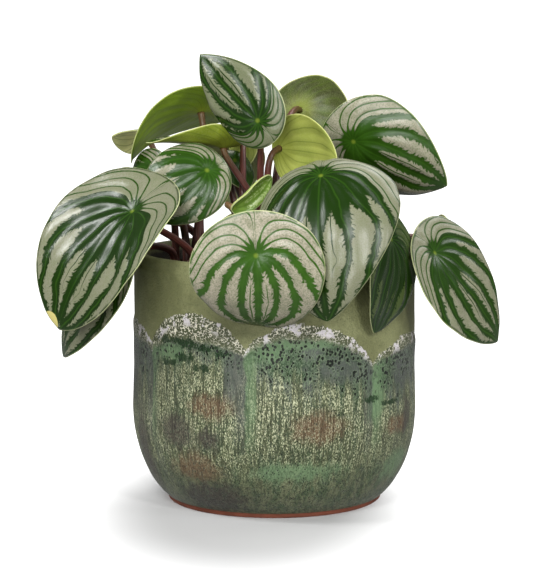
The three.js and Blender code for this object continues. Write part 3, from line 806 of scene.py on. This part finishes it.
def petiole_material():
    """Dark red-brown stems, greener near the blade, with fine pale flecks and lengthwise streaks."""
    surface = Surface("petiole", roughness=0.42)
    rise = surface.attribute("rise", "Fac")
    x, y, z = split(surface.attribute("stem"))
    streaks = noise(join(x * 2.2, y * 2.2, z * 0.12), 1.6, 3)
    flecks = noise(join(x * 3, y * 3, z * 1.2), 1.5, 2)
    colour = mix(step(streaks, 0.35, 0.68), STEM_DARK, STEM_RED)
    colour = mix(step(rise, 0.8, 1.0) * 0.35, colour, STEM_GREEN)
    colour = mix(step(rise, 0.4, 0.15) * 0.5, colour, STEM_FOOT)
    colour = mix(step(flecks, 0.62, 0.75) * 0.3, colour, STEM_FLECK)
    height = streaks + flecks * 0.5
    return surface.finish(colour, streaks * 0.2 + 0.3, height, bump=0.35, depth=0.0003)


# ---- Crowns: short stubs that the petioles grow round, ringed with old leaf scars ----
CROWN_SIDES = 28
CROWN_RINGS = 40


def crown_piece(name, at, material):
    heights = np.linspace(SOIL_SKIRT, CROWN_TOP, CROWN_RINGS)
    top = smooth(heights, SOIL_CROWN_HEIGHT, CROWN_TOP)
    radii = CROWN_RADIUS * np.sqrt(np.clip(1 - top**1.6, 0.0004, 1)) * (1 + 0.05 * np.sin(heights * 2.9))
    line = np.column_stack([*np.outer(at, np.ones(CROWN_RINGS)), heights])
    unrolled = np.stack(np.meshgrid(np.linspace(0, 6, CROWN_SIDES), heights / 3), -1)
    lumps = 1 + 0.1 * ripples(unrolled, 2.4, 900 + at[0])
    points, faces = tube(line, radii[:, None] * lumps, CROWN_SIDES)
    place = ("stem", points / 3)
    return mesh_object(f"stub_{name}", points, faces, [place, ("rise", np.zeros(len(points)))], [material])


# ---- Soil ----
SOIL_SPOKES = 160
SOIL_RINGS = 56
GRAINS = 900
GRAIN_CORNERS = 12
PALE_GRAIN = 0.97  # tone of the grit
SOIL_DARK = linear(34, 25, 19)
SOIL_BROWN = linear(60, 44, 33)
SOIL_GRIT = linear(92, 70, 52)
BARK = linear(98, 68, 46)
GRIT = linear(176, 168, 150)


def soil_height(x, y):
    """The CAD soil's mound and lumps, with finer crumbs on them."""
    share = np.hypot(x, y) / SOIL_RADIUS
    mound = SOIL_EDGE_HEIGHT + (SOIL_CROWN_HEIGHT - SOIL_EDGE_HEIGHT) * (1 - share**2)
    lumps = SOIL_LUMP * (np.sin(x / LUMP_PITCH_X + 0.4) * np.cos(y / LUMP_PITCH_Y)
                         + 0.5 * np.sin((x + y) / LUMP_PITCH_ACROSS))
    points = np.stack([x, y], -1)
    crumbs = 0.7 * ripples(points, 4.2, 31) + 0.35 * ripples(points, 1.9, 32, waves=24)
    return mound + lumps * smooth(share, 1.0, 0.9) + crumbs


def soil_piece(material):
    shares = np.linspace(0, 1, SOIL_RINGS + 1)[1:]
    angles = turns(SOIL_SPOKES)
    x = np.concatenate([[0], np.outer(shares * SOIL_RADIUS, np.cos(angles)).ravel()])
    y = np.concatenate([[0], np.outer(shares * SOIL_RADIUS, np.sin(angles)).ravel()])
    top = np.column_stack([x, y, soil_height(x, y)])
    skirt = top[-SOIL_SPOKES:] * [1, 1, 0] + [0, 0, SOIL_SKIRT]
    points = np.concatenate([top, skirt])
    faces = disc(SOIL_RINGS + 1, SOIL_SPOKES) + [cap(len(top), len(points))]
    return mesh_object("soil_bed", points, faces, [("place", points)], [material])


def grain_shape():
    """Unit points and faces of a plain rounded chip: an icosahedron."""
    golden = (1 + math.sqrt(5)) / 2
    points = []
    for a in (-1, 1):
        for b in (-golden, golden):
            points += [(0, a, b), (a, b, 0), (b, 0, a)]
    points = unit(np.array(points, float))
    gaps = np.linalg.norm(points[:, None] - points[None], axis=-1)
    edge = gaps[gaps > 0.01].min() * 1.05
    faces = []
    for i, j, k in combinations(range(GRAIN_CORNERS), 3):
        if max(gaps[i, j], gaps[j, k], gaps[i, k]) < edge:
            outward = np.linalg.det(points[[i, j, k]]) > 0
            faces.append((i, j, k) if outward else (i, k, j))
    return points, faces


def soil_grains_piece(material):
    """Bark chips, crumbs of peat and a few pale grains of grit, half sunk in the bed."""
    draw = np.random.default_rng(7)
    shape, shape_faces = grain_shape()
    points = []
    faces = []
    tones = []
    for index in range(GRAINS):
        size = draw.uniform(0.7, 1.5) if index % 5 else draw.uniform(1.6, 2.9)
        radius = (SOIL_RADIUS - size - 0.8) * math.sqrt(draw.uniform(0, 1))
        angle = draw.uniform(0, 2 * math.pi)
        x, y = radius * math.cos(angle), radius * math.sin(angle)
        stretch = draw.uniform(0.55, 1.25, 3) * [1, 1, 0.6]
        axes = np.linalg.qr(draw.normal(size=(3, 3)))[0]
        chip = (shape * draw.uniform(0.8, 1.15, (GRAIN_CORNERS, 1)) * size * stretch) @ axes
        faces += [tuple(corner + len(points) * GRAIN_CORNERS for corner in face) for face in shape_faces]
        points.append(chip + [x, y, soil_height(x, y) + 0.25 * size])
        tone = PALE_GRAIN if index % 31 == 0 else draw.uniform(0, 0.7)
        tones.append(np.full(GRAIN_CORNERS, tone))
    points = np.concatenate(points)
    attributes = [("place", points), ("tone", np.concatenate(tones))]
    grains = mesh_object("soil_grains", points, faces, attributes, [material])
    grains.data.polygons.foreach_set("use_smooth", np.zeros(len(faces), bool))
    return grains


def soil_material(grainy):
    surface = Surface("soil_grains" if grainy else "soil_bed", roughness=0.9, specular=0.25)
    place = surface.attribute("place")
    cloud = noise(place, 0.16, 3)
    grit = noise(place, 1.1, 4, 0.7)
    colour = mix(step(cloud, 0.35, 0.7), SOIL_DARK, SOIL_BROWN)
    colour = mix(step(grit, 0.5, 0.75) * 0.5, colour, SOIL_GRIT)
    if grainy:
        tone = surface.attribute("tone", "Fac")
        colour = mix(step(tone, 0.1, 0.8) * 0.55, colour, BARK)
        colour = mix(step(tone, 0.9, 0.95), colour, GRIT)
    return surface.finish(colour, grit * 0.2 + 0.75, grit + cloud, bump=0.8, depth=0.0006)


# ---- Pot ----
POT_SIDES = 384
CLAY_ROWS = 6  # rows of the profile that are bare clay
UNDERSIDE_ROWS = 42
BETWEEN_ROWS = 21
WALL_ROWS = 52
LIP_ROWS = 17
INSIDE_HEIGHTS = (127, 124, 121, 117, 110)
# (radius, height) of the hollow under the base and of the foot's edge
FOOT = [(20, 0.6), (50, 0.6), (54, 0.2), (56.2, 0), (FOOT_RADIUS, 0.6), (FOOT_RADIUS, 2.0)]
# The lower glaze hangs from seven arches. Each starts at a cusp: (bearing and height of the cusp, height of
# the arch's top, depth of the white lace under the arch, depth to which dark glaze pools).
ARCHES = [
    (-58.0, 88, 107, 14, 26),
    (-11.5, 89, 103, 8, 34),
    (42.0, 80, 92, 6, 30),
    (92.0, 84, 104, 9, 28),
    (144.0, 86, 101, 11, 33),
    (196.0, 83, 106, 8, 27),
    (249.0, 86, 99, 10, 31),
]
# Stains in the run glaze, by colour, some also painted light as marked: (bearing, height, half width, half
# height).
STAINS = {
    "brown": [(-26, 61, 12, 7), (-34, 27, 15, 8), (17, 50, 14, 8), (58, 46, 13, 5), (108, 56, 14, 8),
              (158, 47, 16, 8), (205, 60, 12, 9), (268, 52, 14, 8)],
    # Partly painted reflection: the slate patches at -80, 25 and 61 also stand for the lamps seen in the
    # glossy glaze, and the narrow one at -17 is painted shade beside a crease.
    "slate": [(25, 80, 13, 9), (61, 74, 10, 11), (-17, 78, 5, 14), (-80, 70, 16, 18), (120, 74, 12, 12),
              (180, 50, 12, 8), (225, 78, 12, 10)],
    "umber": [(-42, 46, 12, 9), (-27, 43, 7, 6), (-28, 11, 24, 9), (-68, 30, 10, 24), (66, 50, 5, 12),
              (130, 14, 26, 10), (240, 30, 20, 12)],
    # Partly painted light: the jade patch low at 62 also lightens the lower right of the pot.
    "jade": [(-2, 89, 8, 5), (-46, 86, 10, 5), (12, 93, 20, 2.5), (44, 66, 7, 16), (8, 27, 24, 5),
             (62, 24, 14, 8), (105, 86, 12, 8), (150, 27, 20, 7), (215, 30, 18, 8), (270, 86, 12, 7)],
    "pool": [(-48, 92, 7, 2.4), (-38, 92, 9, 3), (-29, 90, 8, 2.4), (-21, 87.5, 6, 1.6), (-45, 81, 6, 2.4),
             (-37, 84, 7, 2.8), (-30, 80, 6, 2.4), (52, 59, 8, 1.8), (42, 62, 6, 1.8),
             (100, 90, 12, 2.4), (150, 82, 12, 2.4), (222, 88, 14, 2.4), (272, 80, 10, 2.4)],
}


def stain_strength(bearing, height, spots):
    """1 in the middle of the nearest stain, fading to 0 outside it."""
    strength = np.zeros(len(bearing))
    for at, level, half_width, half_height in spots:
        sideways = np.radians((bearing - at + 180) % 360 - 180) * WALL_RADIUS / half_width
        upward = (height - level) / half_height
        strength = np.maximum(strength, np.exp(-(sideways**2) - upward**2))
    return strength


def glaze_fields(points):
    """For points on the pot: depth under the arches' edge, distance past the nearest cusp and depths of the
    lace and the pool, all in mm, and then the strengths of the stains."""
    bearing = np.degrees(np.arctan2(points[:, 0], -points[:, 1]))
    first = ARCHES[0][0]
    bearing = (bearing - first) % 360 + first
    depth = np.zeros(len(points))
    past_cusp = np.zeros(len(points))
    lace = np.zeros(len(points))
    pool = np.zeros(len(points))
    next_arches = [*ARCHES[1:], (first + 360, ARCHES[0][1])]
    for (start, cusp, top, lace_depth, pool_depth), (end, next_cusp, *_) in zip(ARCHES, next_arches):
        inside = (bearing >= start) & (bearing <= end)
        share = (bearing[inside] - start) / (end - start)
        low = cusp + (next_cusp - cusp) * share
        edge = low + (top - (cusp + next_cusp) / 2) * np.sin(math.pi * share) ** 0.65
        depth[inside] = edge - points[inside, 2]
        arc = math.radians(end - start) * WALL_RADIUS
        past_cusp[inside] = np.where(share < 0.5, share, share - 1) * arc
        lace[inside] = lace_depth * (0.35 + 0.65 * np.sin(math.pi * share))
        pool[inside] = pool_depth * (0.6 + 0.4 * np.sin(math.pi * share))
    stains = {colour: stain_strength(bearing, points[:, 2], spots) for colour, spots in STAINS.items()}
    return depth, past_cusp, lace, pool, stains


def pot_profile():
    """(radius, height) points from under the base, up the outside, over the lip and down the inside."""
    underside = bezier(UNDERSIDE, UNDERSIDE_ROWS)
    belly = np.array([BELLY_RADIUS, BELLY_HEIGHT])
    between = belly + ([WALL_RADIUS, WALL_FOOT] - belly) * np.linspace(0, 1, BETWEEN_ROWS)[1:-1, None]
    wall = [(WALL_RADIUS, z) for z in np.linspace(WALL_FOOT, COLLAR_HEIGHT - 1, WALL_ROWS)]
    collar = [
        (WALL_RADIUS - 0.1, COLLAR_HEIGHT - 0.5),
        (WALL_RADIUS - COLLAR_INSET * 0.9, COLLAR_HEIGHT),
        (WALL_RADIUS - COLLAR_INSET, COLLAR_HEIGHT + 1.2),
        (WALL_RADIUS - COLLAR_INSET, COLLAR_HEIGHT + 2.6),
    ]
    centre = np.array([WALL_RADIUS - COLLAR_INSET - LIP_RADIUS, POT_HEIGHT - LIP_RADIUS])
    bend = np.radians(np.linspace(0, 180, LIP_ROWS))
    lip = centre + LIP_RADIUS * np.column_stack([np.cos(bend), np.sin(bend)])
    inside = [(WALL_RADIUS - WALL, z) for z in INSIDE_HEIGHTS]
    return np.array([*FOOT, *underside, *between, *wall, *collar, *lip, *inside])


def pot_piece(materials):
    profile = pot_profile()
    angles = turns(POT_SIDES)
    radius = np.repeat(profile[:, 0], POT_SIDES)
    height = np.repeat(profile[:, 1], POT_SIDES)
    around = np.tile(angles, len(profile))
    outward = np.column_stack([np.cos(around), np.sin(around), np.zeros(len(around))])
    points = outward * radius[:, None] + UP * height[:, None]
    depth, past_cusp, lace, pool, stains = glaze_fields(points)
    outside = radius > FOOT_RADIUS + 0.2
    under_arch = smooth(depth, -0.4, 2.5)
    above_foot = smooth(height, 2.5, 14)
    crease = np.exp(-np.abs(past_cusp) / 4.0) * smooth(depth, 0, 12) * above_foot
    tall = points * [1, 1, 0.12]
    proud = 0.35 * under_arch + 0.25 * smooth(depth, 0, 4) * smooth(depth, 12, 5)
    proud += 0.18 * ripples(tall, 5, 61, waves=24) * under_arch
    proud += 0.12 * ripples(points, 16, 62) - 0.9 * crease
    proud *= np.where(outside & (height < COLLAR_HEIGHT + 2), above_foot, 0)
    points += outward * proud[:, None]
    faces = net(len(profile), POT_SIDES) + [cap(0, POT_SIDES)]
    attributes = [
        ("place", points),
        ("glaze", np.column_stack([depth, past_cusp, lace])),
        ("bands", np.column_stack([pool, stains["pool"], stains["umber"]])),
        ("stains", np.column_stack([stains["brown"], stains["slate"], stains["jade"]])),
    ]
    row_of_face = np.repeat(np.arange(len(profile) - 1), POT_SIDES)
    sides = np.where(row_of_face < CLAY_ROWS, 1, 0).tolist() + [1]
    return mesh_object("pot_glazed", points, faces, attributes, materials, sides)


COLLAR = linear(146, 149, 104)
COLLAR_DARK = linear(116, 119, 78)
OLIVE = linear(62, 68, 44)
LACE_GROUND = linear(80, 86, 56)
CREAM = linear(238, 234, 214)
SNOW = linear(222, 216, 220)
POOL = linear(46, 68, 42)
POOL_DARK = linear(12, 46, 8)
POOL_PALE = linear(108, 126, 98)
PIT = linear(8, 18, 6)
MOSS = linear(100, 108, 74)
FLECK = linear(204, 206, 170)
BROWN = linear(98, 72, 48)
LOW = linear(104, 106, 82)
DEEP = linear(44, 48, 34)
# painted shade for the inside of the wall
INSIDE_SHADE = linear(44, 38, 28)
SLATE = linear(80, 84, 80)
UMBER = linear(58, 50, 46)
JADE = linear(104, 132, 94)
CLAY_DARK = linear(104, 58, 42)
CLAY = linear(124, 70, 52)
CLAY_GRIT = linear(110, 56, 40)


def clay_material():
    surface = Surface("foot_clay", roughness=0.85, specular=0.3)
    place = surface.attribute("place")
    grit = noise(place, 1.4, 4, 0.7)
    cloud = noise(place, 0.12, 2)
    colour = mix(step(cloud, 0.3, 0.7), CLAY_DARK, CLAY)
    colour = mix(step(grit, 0.5, 0.7) * 0.35, colour, CLAY_GRIT)
    return surface.finish(colour, None, grit, bump=0.5, depth=0.0003)


def glaze_material():
    """Sage glaze over a second one that hangs in arches: white lace at its edge, dark pits and pools, then
    cream flecks and brown patches run into streaks, and green drips above a dark foot."""
    surface = Surface("glaze", roughness=0.3, specular=0.5)
    place = surface.attribute("place")
    x, y, z = split(place)
    depth, past_cusp, lace_depth = split(surface.attribute("glaze"))
    pool_depth, puddle, umber = split(surface.attribute("bands"))
    brown, slate, jade = split(surface.attribute("stains"))
    tall = join(x, y, z * 0.5)
    taller = join(x, y, z * 0.08)
    wobble = noise(place, 0.11, 3, 0.6) - 0.5
    fine = noise(place, 0.9, 3, 0.6)
    blotch = noise(place, 0.35, 2)
    grain = noise(place, 2.2, 2)
    flow = noise(taller, 0.28, 4, 0.65)
    thread = noise(taller, 0.9, 3, 0.6)
    speck = noise(tall, 1.9, 3, 0.7)
    cloud = noise(place, 0.05, 3, 0.6)
    depth = depth + wobble * 5.0 + (fine - 0.5) * 3.5
    height = z + wobble * 22.0
    unruly = wobble * 1.0 + (flow - 0.5) * 0.9 + (speck - 0.5) * 0.7

    def stained(colour, strength, stain, most):
        amount = step(strength + unruly, 0.1, 0.8)
        return mix(amount * most, colour, stain)

    collar = mix(step(cloud, 0.35, 0.65), COLLAR, COLLAR_DARK)
    collar = mix(step(grain, 0.42, 0.62) * 0.6, collar, COLLAR_DARK)
    collar = mix(step(fine, 0.52, 0.7) * 0.3, collar, OLIVE)

    # The run glaze under the arches, from the pools down to the foot.
    run = mix(step(speck, 0.38, 0.54), OLIVE, MOSS)
    run = mix(step(flow, 0.42, 0.62) * 0.6, run, POOL)
    run = stained(run, brown, BROWN, 0.7)
    flecks = step(speck, 0.51, 0.58) * step(thread, 0.38, 0.54)
    flecks *= step(height + wobble * 30.0, 6.0, 50.0)
    run = mix(flecks * 0.9, run, FLECK)
    low_colour = mix(step(flow, 0.35, 0.65), LOW, POOL)
    low_colour = mix(step(speck, 0.46, 0.6) * 0.7, low_colour, MOSS)
    run = mix(step(height, 34.0, 8.0) * 0.7, run, low_colour)
    gullies = step(thread, 0.47, 0.37) * step(height, 92.0, 60.0)
    run = mix(gullies * 0.45, run, DEEP)

    # Dark pools with pits.
    below_lace = depth - lace_depth
    below_pool = depth - (pool_depth + (flow - 0.5) * 65)
    pool = step(below_lace, -1.2, 1.2) * step(below_pool, 7.0, -10.0)
    # Partly painted reflection: the slate grey in the pools also stands for the lamps seen in their gloss.
    pool_colour = mix(step(cloud, 0.42, 0.6), POOL, SLATE)
    pool_colour = mix(step(speck, 0.48, 0.6) * 0.8, pool_colour, POOL_PALE)
    run = mix(pool, run, pool_colour)
    run = stained(run, brown, BROWN, 0.45)
    run = stained(run, slate, SLATE, 0.75)
    run = stained(run, umber, UMBER, 0.8)
    run = stained(run, jade, JADE, 0.75)
    pits_at = cells(join(x, y, z * 0.75), 0.56) + (fine - 0.5) * 0.45
    pit_size = step(noise(place, 0.16, 2), 0.26, 0.52) * larger(pool, 0.4)
    pit_edge = pits_at - pit_size * 0.42
    pit = step(pit_edge, 0.04, -0.06)
    pit_rim = step(pit_edge, 0.26, 0.12) * step(pit_edge, 0.0, 0.06)
    run = mix(pit_rim * pit_size * 0.6, run, POOL_PALE)
    run = mix(pit * 0.95, run, PIT)
    pores = step(cells(tall, 0.9), 0.26, 0.16) * step(noise(place, 0.3, 2), 0.4, 0.54)
    run = mix(pores * 0.85, run, PIT)

    # Creases under the cusps: slate on their left and jade on their right, painted shade and painted light
    # on the two sides of each dent.
    off_crease = abs(past_cusp) + (flow - 0.5) * 14.0
    crease = step(off_crease, 7.5, 2.0) * step(depth, -1.0, 3.0)
    crease *= step(height, 28.0, 62.0)
    rightward = step(past_cusp + wobble * 5.0, -1.0, 1.0)
    run = mix(crease * 0.6, run, mix(rightward, SLATE, JADE))

    # White lace along the arches.
    lace_zone = step(below_lace, 2.0, -3.0)
    web = cells(place, 0.72, feature="DISTANCE_TO_EDGE")
    web_width = step(below_lace, 0.0, -8.0) * 0.06 + 0.06
    web = step(web - web_width, 0.03, -0.03)
    web *= step(noise(place, 0.75, 2), 0.45, 0.53)
    snow = step(noise(place, 0.16, 3, 0.6), 0.54, 0.58) * step(depth, 8.5, 4.0)
    snow *= step(fine, 0.34, 0.44)
    lace = mix(larger(web, snow), LACE_GROUND, mix(snow, CREAM, SNOW))
    run = mix(lace_zone, run, lace)
    dabs = (fine - 0.5) * 1.3 + (blotch - 0.5) * 2.2
    puddle = step(puddle + dabs * step(puddle, 0.0, 0.3), 0.42, 0.72)
    run = mix(puddle * 0.9, run, POOL_DARK)

    glazed = step(depth, -0.3, 0.3)
    colour = mix(glazed, collar, run)
    # Painted shade: the inside of the wall, from just under the rim down to the soil, is darkened as the
    # leaves shade it.
    radius = root(x * x + y * y)
    within = step(radius, 69.7, 69.3) * step(z, 90.0, 95.0)
    shaded_inside = within * step(z + wobble * 4.0, 130.0, 127.0)
    colour = mix(shaded_inside, colour, INSIDE_SHADE)

    gloss = grain * 0.14 + 0.34 + pool * glazed * -0.18 + (1.0 - glazed) * 0.2
    hollows = larger(larger(pit, pores), gullies)
    relief = fine * 0.25 + speck * glazed * 0.6 + hollows * glazed * -0.9 + web * lace_zone * 0.5
    return surface.finish(colour, gloss, relief, bump=0.8, depth=0.0006)


# ---- Floor, camera and light ----
FLOOR_REACH = 6e4
FLOOR_GREY = (0.48, 0.48, 0.48, 1)
WHITE = (1, 1, 1, 1)
PAINTED_SHADOW_FADE = (40.0, 116.0)  # distances from its middle over which the floor's glow grows out of the painted shadow, in mm
PAINTED_SHADOW_MIDDLE = (-14.0, -42.0)  # middle of the painted shadow, where the glow is dimmest
PAINTED_SHADOW_STRETCH = 0.55  # how fast the glow grows to the front and back, against the sides, which draws the painted shadow out to the front and back
HORIZON = (-0.4, 0.1)  # upward parts of a direction between which the world's light changes
FLOOR_BOUNCE = 0.46  # light from below, in place of the hidden floor's
ROOM_LIGHT = 0.12
AIM_HEIGHT = 0.15  # of the point that the soft boxes face, in metres
# (name, bearing, height angle, distance in metres, side in metres, power in watts)
SOFT_BOXES = [
    ("key", -14, 36, 1.7, 0.6, 18),
    ("glint", 28, 27, 1.7, 0.28, 11),
    ("left", -80, 40, 1.7, 0.42, 18),
    ("right", 64, 18, 1.7, 0.5, 7),
    ("front", -12, 7, 1.9, 0.5, 11),
]
SKYLIGHT = {"bearing": 140, "height": 46, "spread": 50, "strength": 1.9}
CAMERA_PLACE = (-0.0008, -1.209, 0.271)  # in metres
CAMERA_LOOKS_DOWN = 7.46
LENS = 143.5
SENSOR = 36
FARTHEST_SEEN = 500


def stage():
    """A white floor lit by the lamps near the plant that glows of itself farther off, as a lit backdrop
    does; round the pot its glow fades out in a painted shadow.
    """
    corners = [(x * FLOOR_REACH, y * FLOOR_REACH, 0) for x, y in ((-1, -1), (1, -1), (1, 1), (-1, 1))]
    floor = mesh_object("floor", corners, [(0, 1, 2, 3)], [("place", corners)])
    surface = Surface("floor", roughness=0.9, specular=0.1)
    x, y, _ = split(surface.attribute("place"))
    x -= PAINTED_SHADOW_MIDDLE[0]
    y = (y - PAINTED_SHADOW_MIDDLE[1]) * PAINTED_SHADOW_STRETCH
    put(surface.inputs["Emission Color"], WHITE)
    put(surface.inputs["Emission Strength"], step(root(x * x + y * y), *PAINTED_SHADOW_FADE))
    floor.data.materials.append(surface.finish(FLOOR_GREY))
    floor.visible_diffuse = False  # it would fill the plant's shadows from below
    floor.visible_glossy = False  # and veil its greens


def world():
    """White light from all round, brighter from below."""
    studio = bpy.data.worlds.new("studio")
    bpy.context.scene.world = studio
    studio.use_nodes = True
    background = studio.node_tree.nodes["Background"].inputs
    put(background["Color"], WHITE)
    upward = split(node("TexCoord", {}, "Generated", studio.node_tree))[2]
    inputs = dict(zip(RANGE_ENDS, (*HORIZON, FLOOR_BOUNCE, ROOM_LIGHT)))
    put(background["Strength"], node("MapRange", {"Value": upward, **inputs}, "Result"))


def aim(holder, bearing, height):
    """Turns a light to shine down from a bearing and a height angle, and returns the way to it."""
    bearing, height = math.radians(bearing), math.radians(height)
    level = math.cos(height)
    away = Vector((level * math.sin(bearing), -level * math.cos(bearing), math.sin(height)))
    holder.rotation_euler = away.to_track_quat("Z", "Y").to_euler()
    return away


def light_source(name, kind, energy):
    light = bpy.data.lights.new(name, kind)
    light.energy = energy
    return light, placed(name, light)


def lights():
    """Soft boxes round the plant, and a wide sky light from behind that is the same all over the floor."""
    for name, bearing, height, distance, side, power in SOFT_BOXES:
        light, holder = light_source(name, "AREA", power)
        light.size = side
        holder.location = Vector((0, 0, AIM_HEIGHT)) + distance * aim(holder, bearing, height)
    light, holder = light_source("sky", "SUN", SKYLIGHT["strength"])
    light.angle = math.radians(SKYLIGHT["spread"])
    aim(holder, SKYLIGHT["bearing"], SKYLIGHT["height"])


def camera():
    """The front view: a long lens looking slightly down."""
    lens = bpy.data.cameras.new("camera")
    lens.lens = LENS
    lens.sensor_width = SENSOR
    lens.clip_end = FARTHEST_SEEN
    holder = placed("camera", lens)
    holder.location = CAMERA_PLACE
    holder.rotation_euler = (math.radians(90 - CAMERA_LOOKS_DOWN), 0, 0)
    bpy.context.scene.camera = holder


# ---- The scene ----
camera()
stage()
world()
lights()
bpy.context.scene.view_settings.view_transform = "Standard"

blade_materials = [striped_material(), underside_material()]
stem_material = petiole_material()
for leaf in LEAVES:
    stand_for(blade_piece(leaf, blade_materials), f"blade_{leaf.name}")
    stand_for(petiole_piece(leaf, stem_material), f"petiole_{leaf.name}")
for name, at in CROWNS.items():
    stand_for(crown_piece(name, at, stem_material), f"crown_{name}")
stand_for(soil_piece(soil_material(False)), "soil")
stand_for(soil_grains_piece(soil_material(True)), "soil")
stand_for(pot_piece([glaze_material(), clay_material()]), "pot")
